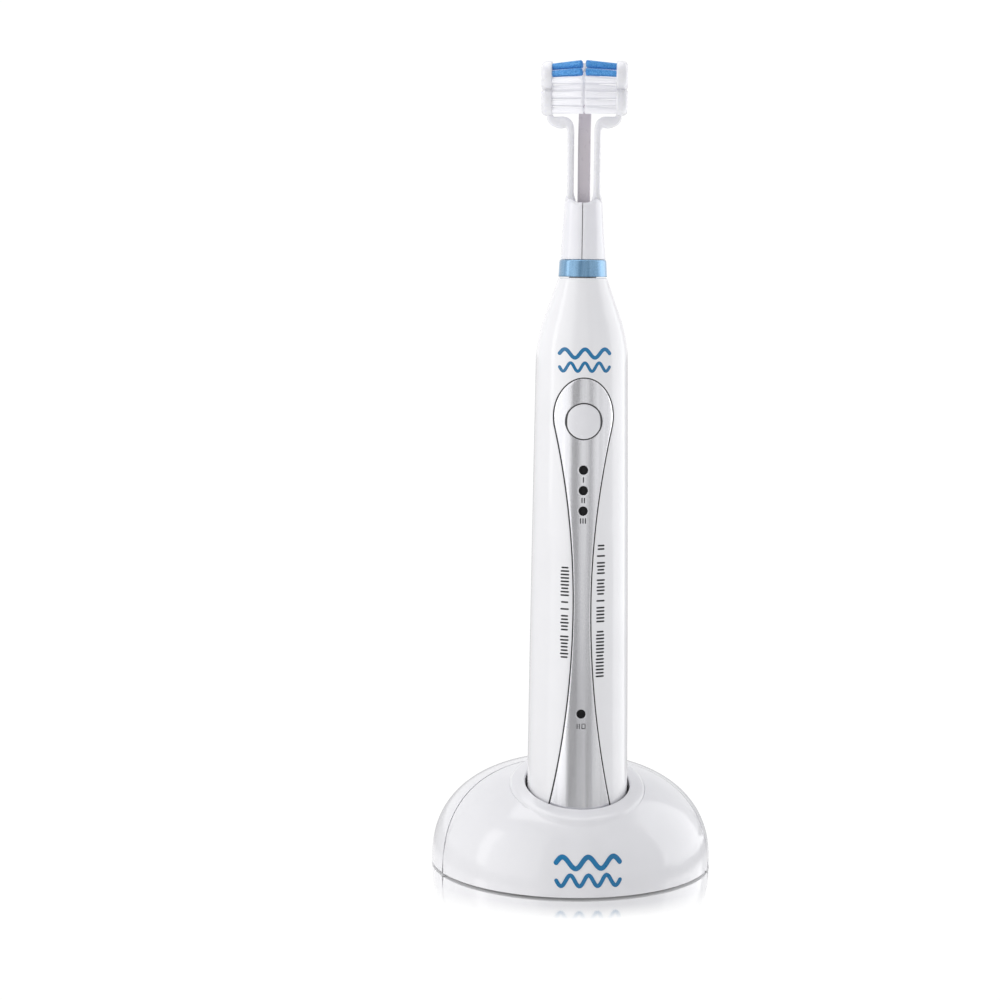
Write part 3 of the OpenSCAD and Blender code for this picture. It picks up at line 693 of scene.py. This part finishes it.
def make_side_arm(side, name, body):
    stem = Shell(head)
    path = []
    for z in steps(194.6, BEND_Z - 0.2, 30):
        flare = 1 + 0.55 * math.exp(-max(0.0, z - 195.6) / 0.55)
        path.append(((side * STEM_X, STEM_Y, z), STEM_W * flare, STEM_D * (1 + 0.35 * (flare - 1))))
    corner = [(STEM_X, BEND_Z), (STEM_X + 0.1, BEND_Z + 3.3), (6.6, BEND_Z + 2.8)]
    for t in steps(0, 1, 14):
        x, z = bezier(corner, t)
        path.append(((side * x, STEM_Y, z), lerp(STEM_W, ELBOW_W, smooth(t)), lerp(STEM_D, 1.35, t)))
    heel = [(6.9, BEND_Z + 2.84), (8.6, BEND_Z + 3.0), (9.7, BEND_Z + 3.4), (9.75, BEND_Z + 5.0)]
    for t in steps(0, 1, 12):
        x, z = bezier(heel, t)
        path.append(((side * x, STEM_Y, z), lerp(ELBOW_W, HEEL_W, t), 1.3))
    sweep(stem, path, rounded(), (0, 1, 0))
    bend = ("brush_head", body, head(side * STEM_X, STEM_Y, 195.8), head(side * STEM_X, STEM_Y, 210.0))
    stem.build(name + "_stem_shell", "pad", None, [name + "_stem"], blend=bend)

    pad = Shell(head)
    (z_low, r_low), (z_high, r_high) = LOBES
    gap = z_high - z_low
    split = z_low + (gap ** 2 + r_low ** 2 - r_high ** 2) / (2 * gap)
    half = math.sqrt(r_low ** 2 - (split - z_low) ** 2)

    def inside(y, z):
        return max(0.0, r_low - math.hypot(y, z - z_low), r_high - math.hypot(y, z - z_high))

    def outer(y, z):
        d = min(1.0, inside(y, z) / 1.3)
        return PAD_X + PAD_WALL + (PAD_T - PAD_WALL) * math.sqrt(1 - (1 - d) ** 2)

    def inner(y, z):
        d = min(1.0, inside(y, z) / PAD_ROUND)
        return PAD_X + PAD_ROUND * (1 - math.sqrt(1 - (1 - d) ** 2))

    for z_c, r_c, up in ((z_low, r_low, 1), (z_high, r_high, -1)):
        opening = math.atan2(half, up * (split - z_c))
        loop = [(r_c * math.sin(a), z_c + up * r_c * math.cos(a)) for a in steps(opening, TAU - opening, 64)]
        loop += [(y, split) for y in steps(-half, half, 10)][1:-1]
        for face in (outer, inner):
            rows = []
            for t in (1, 0.985, 0.965, 0.94, 0.9, 0.85, 0.78, 0.7, 0.6, 0.45, 0.25, 0):
                ring = [(y * t, lerp(z_c, z, t)) for y, z in loop]
                rows.append([(side * face(y, z), PAD_Y + y, z) for y, z in ring])
            pad.grid(rows, close=True)
        wall = loop[:65]
        pad.grid([[(side * x, PAD_Y + y, z) for y, z in wall] for x in steps(PAD_X + PAD_ROUND, PAD_X + PAD_WALL, 2)])
    pad.build(name + "_pad_shell", "pad", body, [name + "_pad"])


def filaments(shell, root, tip, spread, count, chance):
    """One tuft: a packed core, and round-ended filaments around and over it that splay a little to the tip."""
    root, tip = Vector(root), Vector(tip)
    along = (tip - root).normalized()
    u = along.cross(Vector((0, 0, 1))).normalized()
    v = along.cross(u)
    length = (tip - root).length

    def ring(p, radius, n):
        return [tuple(p + (u * math.cos(TAU * k / n) + v * math.sin(TAU * k / n)) * radius) for k in range(n)]

    core = TUFT_R - 0.13
    stations = [(root, core), (root.lerp(tip, 0.5), core + spread * 0.5),
                (root + along * (length - 0.5), core + spread), (root + along * (length - 0.4), 0.02)]
    shell.grid([ring(p, radius, 20) for p, radius in stations], close=True)
    turn = chance.random() * TAU
    for i in range(count):
        a = turn + i * 2.39996
        r = math.sqrt((i + 0.5) / count)
        out = u * math.cos(a) + v * math.sin(a)
        start = 0.0 if r > 0.72 else 0.9
        low = (root + out * (r * (TUFT_R - 0.07))).lerp(tip + out * (r * (TUFT_R + spread)), start)
        high = tip + out * (r * (TUFT_R + spread))
        high += (u * chance.uniform(-1, 1) + v * chance.uniform(-1, 1)) * 0.05
        high += along * chance.uniform(-0.16, 0.06)
        bow = (u * chance.uniform(-1, 1) + v * chance.uniform(-1, 1)) * 0.035 * (1 - start)
        span = (high - low).length
        rows = []
        for t, fat in ((0, 1), (0.35, 1), (0.7, 1), (1 - 0.12 / span, 0.95), (1 - 0.03 / span, 0.6), (1, 0.05)):
            rows.append(ring(low.lerp(high, t) + bow * math.sin(math.pi * t), FILAMENT_R * fat, 6))
        shell.grid(rows, close=True)


# rows of tufts on a side pad: (height of the roots, rise towards the tips, places from front to back)
BLUE_ROWS = [(232.1, 0.5, (-2.4, -0.7, 1.0)), (230.1, 0.25, (-3.3, -1.5, 0.3))]
WHITE_ROWS = [(228.1, 0.1, (-3.3, -1.5, 0.3)), (226.05, 0.05, (-1.5, 0.3)), (224.05, 0.0, (-3.0, -1.25, 0.5)),
              (222.0, -0.05, (-3.1, -1.35, 0.4)), (220.05, -0.1, (-2.4, -0.7, 1.0))]


def make_tufts():
    chance = random.Random(4)
    spread, count = 0.1, 56
    for side, name, body in ((-1, "left", "left_arm"), (1, "right", "right_arm")):
        for rows, kind in ((BLUE_ROWS, "blue"), (WHITE_ROWS, "white")):
            shell = Shell(head)
            for z, rise, places in rows:
                for y in places:
                    root = (side * (PAD_X + 0.1), y, z)
                    tip = (side * (0.62 if kind == "blue" else 0.27), y - TUFT_LEAN, z + rise)
                    filaments(shell, root, tip, spread, count, chance)
            shell.build(f"{name}_{kind}_bristles", "nylon_" + kind, body,
                        [f"{name}_{kind}_tufts"], merge=0.0005, sharp=80)
    shell = Shell(head)
    for row in range(5):
        n = 2 if row in (0, 4) else 3
        for i in range(n):
            x, z = (i - (n - 1) / 2) * 2, 223.3 + row * 2.25
            filaments(shell, (x, 4.8, z), (x, -0.05, z), spread, count, chance)
    shell.build("rear_bristles", "nylon_white", "brush_head",
                ["rear_tufts"], merge=0.0005, sharp=80)


def make_rear():
    stem = Shell(head)
    half_width = 1.8
    path = [((0, 1.6, z), 1.0, half_width) for z in steps(192.8, 210.6, 20)]
    curve = [(1.6, 211), (1.5, 214.6), (3.0, 216.2), (4.2, 218.8), (5.35, 222.3)]
    for t in steps(0, 1, 22):
        y, z = bezier(curve, t)
        path.append(((0, y, z), lerp(1.0, 0.6, t), half_width))
    sweep(stem, path, rounded(28, 4.0), (1, 0, 0))
    stem.build("rear_stem_shell", "stem", "brush_head", ["rear_stem"])

    pad = Shell(head)
    low, high, r = 223.3, 229.9, 3.9
    front, thick, back_round, face_round = 4.7, 1.8, 0.9, 0.3

    def back(d):
        d = min(1.0, d / back_round)
        return front + back_round + (thick - back_round) * math.sqrt(1 - (1 - d) ** 2)

    def face(d):
        d = min(1.0, d / face_round)
        return front + face_round * (1 - math.sqrt(1 - (1 - d) ** 2))

    loop = [(r * math.cos(a), high + r * math.sin(a)) for a in steps(0, math.pi, 40)]
    loop += [(-r, z) for z in steps(high, low, 12)][1:-1]
    loop += [(-r * math.cos(a), low - r * math.sin(a)) for a in steps(0, math.pi, 40)]
    loop += [(r, z) for z in steps(low, high, 12)][1:-1]
    for surface in (back, face):
        rows = []
        for t in (1, 0.985, 0.96, 0.92, 0.86, 0.78, 0.65, 0.45, 0.2, 0):
            rows.append([(x * t, surface(r * (1 - t)), lerp(min(high, max(low, z)), z, t)) for x, z in loop])
        pad.grid(rows, close=True)
    pad.grid([[(x, y, z) for x, z in loop] for y in (front + face_round, front + back_round)], close=True)
    knob = [(0.46, 233.0), (0.45, 233.7), (0.4, 234.2), (0.3, 234.5), (0.15, 234.66), (0.0, 234.7)]
    for x in (-1.4, 1.4):
        pad.turn(knob, 20, x, 5.6)
    pad.build("rear_pad_shell", "pad", "brush_head", ["rear_pad"])


# ------------------------------------------------------------------ charger base

BASE_R, DOME_H, DOME_N, EDGE_Z = 41.5, 30.4, 2.4, 0.55
COLLAR_R, WELL_R, COLLAR_Z, COLLAR_SLOPE = 19.6, 15.15, 27.2, 0.30
SEAM_Y, SEAM_R = -44.9, 50.1
FRONT_GAP, REAR_GAP = 0.14, 0.12        # from the seam's circle to the front and the rear cover
GLAND_R, GLAND_Z, GLAND_Y = 3.75, 9, 41.2
# the covers' bottom edge, rolled inwards: (distance in from the rim, distance up)
BOTTOM = [(0.06, 0), (0.25, 0), (1.9, 0), (2.0, 1.5), (2.0, 4.0)]


def dome_z(x, y, inset=0.0):
    rho = math.hypot(x, y) / (BASE_R - inset)
    if rho >= 1:
        return 0.0
    return (DOME_H - inset) * (1 - rho ** DOME_N) ** (1 / DOME_N)


def dome_radius(z, inset=0.0):
    return (BASE_R - inset) * (1 - (z / (DOME_H - inset)) ** DOME_N) ** (1 / DOME_N)


def dipped(p, depth):
    """A point on the dome moved inwards, square to its surface."""
    x, y, z = p
    pull = math.hypot(x, y) ** (DOME_N - 2) / BASE_R ** DOME_N
    away = Vector((x * pull, y * pull, max(0.01, z) ** (DOME_N - 1) / DOME_H ** DOME_N)).normalized()
    return (x - away.x * depth, y - away.y * depth, max(EDGE_Z, z - away.z * depth))


# the rounded lip of a cover along the seam: (length left to the cover's edge, how far it dips)
LIP = [(0.42, 0.0), (0.27, 0.02), (0.15, 0.06), (0.06, 0.13), (0.0, 0.24)]


def on_dome(x, z, depth=0.0):
    """The dome's front seen from the front, less a depth."""
    rho = dome_radius(z) - depth
    return (x, -math.sqrt(rho * rho - x * x) - 0.05, z + 0.02)      # a hair proud, so that prints show


def seam_corner(y0):
    """The direction, seen from (0, y0), to where the seam's circle meets the base's rim."""
    y = (SEAM_R ** 2 - BASE_R ** 2 - SEAM_Y ** 2) / (-2 * SEAM_Y)
    return math.atan2(y - y0, math.sqrt(BASE_R ** 2 - y ** 2))


def bottom_edge(end, rim_r):
    return [(end[0] * (1 - k / rim_r), end[1] * (1 - k / rim_r), EDGE_Z + up) for k, up in BOTTOM]


def reach(cy, dy, oy, radius):
    """Distance from (0, cy), along a direction whose y part is dy, to a circle about (0, oy) that holds the point."""
    by = cy - oy
    b = by * dy
    return -b + math.sqrt(b * b - (by * by - radius * radius))


def even(points, fractions):
    """Points at given fractions of a polyline's length."""
    total = [0.0]
    for p, q in zip(points, points[1:]):
        total.append(total[-1] + math.dist(p, q))
    out, k = [], 0
    for f in fractions:
        want = f * total[-1]
        while k < len(points) - 2 and total[k + 1] < want:
            k += 1
        span = total[k + 1] - total[k] or 1.0
        t = min(1.0, max(0.0, (want - total[k]) / span))
        out.append(tuple(lerp(a, b, t) for a, b in zip(points[k], points[k + 1])))
    return out


def collar_height(r, y):
    """Top of the collar: a tilted ring that falls a little outwards."""
    return COLLAR_Z + COLLAR_SLOPE * (y - SEAT_Y) + 0.4 - 0.8 * (r - WELL_R) / (COLLAR_R - WELL_R)


# the well's mouth, from an undercut up to its rounded edge: (distance out from the well's wall, distance down)
MOUTH = [(0.6, 6.8), (0.6, 1.2), (0.04, 1.0), (0, 0.85), (0.03, 0.5), (0.13, 0.24), (0.3, 0.08)]
# the collar's rounded outer edge: (radius, distance down)
BROW = [(18.75, -0.02), (19.02, 0.05), (19.25, 0.17), (19.45, 0.35), (COLLAR_R, 0.6)]


def make_front_shell():
    shell = Shell(plain)
    corner = seam_corner(SEAT_Y)
    angles = steps(-math.pi - corner, corner, 170)[:-1] + steps(corner, math.pi - corner, 90)[:-1]
    rows = []
    rim_r = dome_radius(EDGE_Z)
    for a in angles:
        dx, dy = math.cos(a), math.sin(a)
        to_rim = reach(SEAT_Y, dy, 0, rim_r)
        to_seam = reach(SEAT_Y, dy, SEAM_Y, SEAM_R - FRONT_GAP)
        out = min(to_rim, to_seam)

        def at(t, z):
            return (t * dx, SEAT_Y + t * dy, z)

        def collar(t, drop=0.0):
            return collar_height(t, SEAT_Y + t * dy) - drop

        column = [at(WELL_R + out_by, collar(WELL_R, drop)) for out_by, drop in MOUTH]
        column.append(at(WELL_R + 0.55, collar(WELL_R + 0.5)))
        for t in (16.3, 17.0, 17.7, 18.2):
            column.append(at(t, collar(t) + 0.03 * (t - WELL_R)))
        column += [at(t, collar(t, drop)) for t, drop in BROW]
        edge = column[-1]
        foot = dome_z(edge[0], edge[1])
        height = edge[2] - foot
        wide = min(0.35 + 0.55 * height, 0.92 * (out - COLLAR_R))
        points = []
        for i in range(500):
            u = 1 - (1 - i / 499) ** 2.6
            t = lerp(COLLAR_R, out, u)
            x, y, _ = at(t, 0)
            bump = height * max(0.0, 1 - (t - COLLAR_R) / wide) ** 2.1
            points.append((x, y, max(EDGE_Z, dome_z(x, y)) + bump))
        points[0] = edge
        length = sum(math.dist(p, q) for p, q in zip(points, points[1:]))
        lip = 1 - LIP[0][0] / length
        flow = even(points, [lip * (i / 46) ** 1.45 for i in range(47)])
        column += flow[1:]
        last = even(points, [1 - left / length for left, _ in LIP[1:]])
        if to_rim >= to_seam:
            last = [dipped(p, depth) for p, (_, depth) in zip(last, LIP[1:])]
        column += last
        end = last[-1]
        if to_rim < to_seam:
            column += bottom_edge(end, rim_r)
        else:
            column += [(end[0], end[1], max(EDGE_Z, end[2] - down)) for down in (0.1, 0.4, 0.9, 1.4, 1.9)]
        rows.append(column)
    rows.append(rows[0])
    shell.grid(rows)
    shell.build("base_front_shell", "base", "charger", ["base_front_cover", "collar_ring"])


def make_rear_shell():
    shell = Shell(plain)
    corner = seam_corner(SEAM_Y)
    inset = 0.1
    rim_r = dome_radius(EDGE_Z, inset)
    rows = []
    for a in steps(corner, math.pi - corner, 130):
        dx, dy = math.cos(a), math.sin(a)
        start = SEAM_R + REAR_GAP
        out = max(start + 0.001, reach(SEAM_Y, dy, 0, rim_r))
        points = []
        for i in range(400):
            t = lerp(start, out, 1 - (1 - i / 399) ** 2.6)
            x, y = t * dx, SEAM_Y + t * dy
            points.append((x, y, max(EDGE_Z, dome_z(x, y, inset))))
        length = sum(math.dist(p, q) for p, q in zip(points, points[1:]))
        lip = min(0.5, LIP[0][0] / length)
        near = [lip * (LIP[0][0] - left) / LIP[0][0] for left, _ in reversed(LIP)]
        flow = even(points, near + [lerp(lip, 1, i / 44) for i in range(1, 45)])
        flow[:4] = [dipped(p, depth) for p, (_, depth) in zip(flow, reversed(LIP[1:]))]
        x, y, z = flow[0]
        column = [(x, y, max(EDGE_Z, z - down)) for down in (1.9, 1.4, 0.9, 0.5, 0.14)] + flow
        rows.append(column + bottom_edge(flow[-1], rim_r))
    shell.grid(rows)
    piece = shell.build("base_rear_shell", "base", "charger", ["base_rear_cover"])
    bpy.ops.mesh.primitive_cylinder_add(vertices=64, radius=GLAND_R * MM, depth=0.02, location=(0, 0.040, 0.009),
                                        rotation=(math.pi / 2, 0, 0))
    cutter = bpy.context.object
    cut = piece.modifiers.new("gland_hole", "BOOLEAN")
    cut.operation = "DIFFERENCE"
    cut.object = cutter
    bpy.context.view_layer.update()
    cut_mesh = bpy.data.meshes.new_from_object(piece.evaluated_get(bpy.context.evaluated_depsgraph_get()))
    piece.modifiers.clear()
    piece.data = cut_mesh
    bpy.data.objects.remove(cutter)


def make_gland():
    shell = Shell(lambda x, y, z: plain(x, GLAND_Y - z, GLAND_Z + y))
    mouth = [(2.2, 8), (2.2, 0.5), (2.25, 0.2), (2.42, 0.04), (2.65, 0.0), (3.1, 0.0), (3.4, 0.08), (3.56, 0.3)]
    shell.turn(mouth + [(3.6, 0.6), (3.6, 5.5), (4.6, 5.5), (4.6, 8.2), (2.2, 8.2)], 64)
    shell.build("cord_gland_sleeve", "inner", "charger", ["cord_gland"])


def make_base_motif():
    shell = Shell(plain)
    motif(shell, 0.3, 10.2, 18.0, on_dome)
    shell.build("base_motif", "blue_mark", "charger")


# ------------------------------------------------------------------ floor, lights, camera


def make_floor():
    """A glowing pale floor that mirrors the base only close to it, and shows dimmer in reflections than to the eye."""
    mesh = bpy.data.meshes.new("floor")
    rows = [[(x, y, 0) for x in (-6, 6)] for y in (-3, 9)]
    mesh.from_pydata([p for row in rows for p in row], [], [(0, 1, 3, 2)])
    floor = bpy.data.objects.new("floor", mesh)
    bpy.context.scene.collection.objects.link(floor)
    m = Nodes("floor_gloss")
    where = m.add("TexCoord").outputs["Object"]
    far = m.add("VectorMath", {0: where}, operation="LENGTH").outputs["Value"]
    near = m.remap(far, (0.039, 0.043), 0.08, 0.15)
    away = m.remap(far, (0.048, 0.060), 0.0, 0.85)
    share = m.total(near, away)
    bright, dim = m.add("Emission", Strength=1.04), m.add("Emission", Strength=0.5)
    mirrored = m.add("LightPath").outputs["Is Glossy Ray"]
    glow = m.add("MixShader", {0: mirrored, 1: bright.outputs[0], 2: dim.outputs[0]})
    blur = m.remap(far, (0.04, 0.10), 0.05, 0.3)
    gloss = m.add("BsdfGlossy", {"Roughness": blur}, Color=(1, 1, 1, 1))
    mix = m.add("MixShader", {0: share, 1: gloss.outputs[0], 2: glow.outputs[0]})
    m.link(mix.outputs[0], m.tree.nodes["Material Output"].inputs["Surface"])
    mesh.materials.append(m.mat)


def make_cards():
    """Glowing studio cards round the front and right of the object, which only reflections see.

    Each lies on the floor and then stands up, between two directions round the handle, in degrees from the front
    towards the right. The last two numbers are its brightness on the floor and upright.
    """
    cards = (("bright_left", -78, -32, 1.3, 1.3), ("grey_left", -31, -9, 0.31, 0.37),
             ("grey_middle", -9, 11, 0.58, 0.82), ("grey_right", 11, 24, 0.38, 0.48),
             ("pale_right", 24, 75, 0.74, 0.92), ("softbox_right", 79, 128, 2.0, 2.4))
    near, far, low_z, top_z = 0.105, 0.5, 0.001, 0.7
    for name, low, high, on_floor, upright in cards:
        line = [(math.sin(math.radians(a)), -math.cos(math.radians(a))) for a in steps(low, high, 8)]
        for part, level, ends in (("floor", on_floor, ((near, low_z), (far, low_z))),
                                  ("wall", upright, ((far, low_z), (far, top_z)))):
            rows = [[(x * away, SEAT_Y * MM + y * away, z) for x, y in line] for away, z in ends]
            make_card(name + "_" + part, level, rows)


def make_card(name, level, rows):
    """A strip between two rows of points, unseen by the camera, by diffuse light and as a shadow."""
    n = len(rows[0])
    mesh = bpy.data.meshes.new(name)
    mesh.from_pydata(rows[0] + rows[1], [], [(i, i + 1, n + i + 1, n + i) for i in range(n - 1)])
    card = bpy.data.objects.new(name, mesh)
    bpy.context.scene.collection.objects.link(card)
    m = Nodes(name)
    glow = m.add("Emission", Strength=level)
    m.link(glow.outputs[0], m.tree.nodes["Material Output"].inputs["Surface"])
    mesh.materials.append(m.mat)
    card.visible_camera = card.visible_diffuse = card.visible_shadow = card.visible_transmission = False


def area_light(name, at, aim, size, energy, colour=(1, 1, 1)):
    data = bpy.data.lights.new(name, "AREA")
    data.shape = "RECTANGLE"
    data.size, data.size_y = size
    data.energy = energy
    data.color = colour
    lamp = bpy.data.objects.new(name, data)
    lamp.location = at
    lamp.rotation_euler = (Vector(aim) - Vector(at)).to_track_quat("-Z", "Y").to_euler()
    bpy.context.scene.collection.objects.link(lamp)


def make_lights():
    """Three soft lamps, and a white surround that lights the object less than it shows."""
    world = bpy.data.worlds.new("studio")
    bpy.context.scene.world = world
    world.use_nodes = True
    tree = world.node_tree
    soft = tree.nodes["Background"]
    soft.inputs["Color"].default_value = (0.95, 0.955, 1.0, 1)
    soft.inputs["Strength"].default_value = 0.36
    seen = tree.nodes.new("ShaderNodeBackground")
    seen.inputs["Color"].default_value = (1, 1, 1, 1)
    seen.inputs["Strength"].default_value = 1.03
    path = tree.nodes.new("ShaderNodeLightPath")
    mix = tree.nodes.new("ShaderNodeMixShader")
    tree.links.new(path.outputs["Is Diffuse Ray"], mix.inputs[0])
    tree.links.new(seen.outputs[0], mix.inputs[1])
    tree.links.new(soft.outputs[0], mix.inputs[2])
    tree.links.new(mix.outputs[0], tree.nodes["World Output"].inputs["Surface"])
    area_light("key_left", (-0.95, -0.42, 0.40), (0, 0, 0.10), (0.9, 0.9), 5.0, (1.0, 0.99, 0.97))
    area_light("rim_right", (0.85, 0.05, 0.30), (0, 0, 0.12), (0.6, 0.8), 3.0)
    area_light("top", (-0.1, 0.1, 1.0), (0, 0, 0), (0.8, 0.8), 4.5)


def make_camera():
    azimuth, pitch, yaw, roll = (math.radians(a) for a in (-7.0, 5.97, 2.20, 0.4))
    distance, height = 0.6, 0.17233
    eye = Vector((distance * math.sin(azimuth), SEAT_Y * MM - distance * math.cos(azimuth), height))
    up = Vector((0, 0, 1))
    ahead = Vector((-math.sin(azimuth), math.cos(azimuth), 0))
    right = Vector((math.cos(azimuth), math.sin(azimuth), 0))

    def swung(a, b, angle):
        """Turns two square axes in their plane, the first away from the second."""
        c, s = math.cos(angle), math.sin(angle)
        return a * c - b * s, b * c + a * s

    ahead, right = swung(ahead, right, yaw)
    ahead, up = swung(ahead, up, pitch)
    up, right = swung(up, right, roll)
    data = bpy.data.cameras.new("camera")
    data.sensor_width = 36
    data.lens = 75.6
    data.clip_start = 0.01
    data.clip_end = 50
    camera = bpy.data.objects.new("camera", data)
    turn = Matrix((right, up, -ahead)).transposed().to_4x4()
    camera.matrix_world = Matrix.Translation(eye) @ turn
    bpy.context.scene.collection.objects.link(camera)
    bpy.context.scene.camera = camera


bpy.context.scene.view_settings.view_transform = "Standard"
make_camera()
make_floor()
make_lights()
make_cards()
dress_nodes()
make_housing()
make_inlay()
make_button()
make_lenses()
make_handle_prints()
make_ring()
for hand, side_name in ((-1, "left"), (1, "right")):
    make_neck(hand, f"neck_{side_name}_half")
for hand, side_name in ((-1, "left"), (1, "right")):
    make_side_arm(hand, side_name, side_name + "_arm")
make_rear()
make_tufts()
make_front_shell()
make_rear_shell()
make_gland()
make_base_motif()
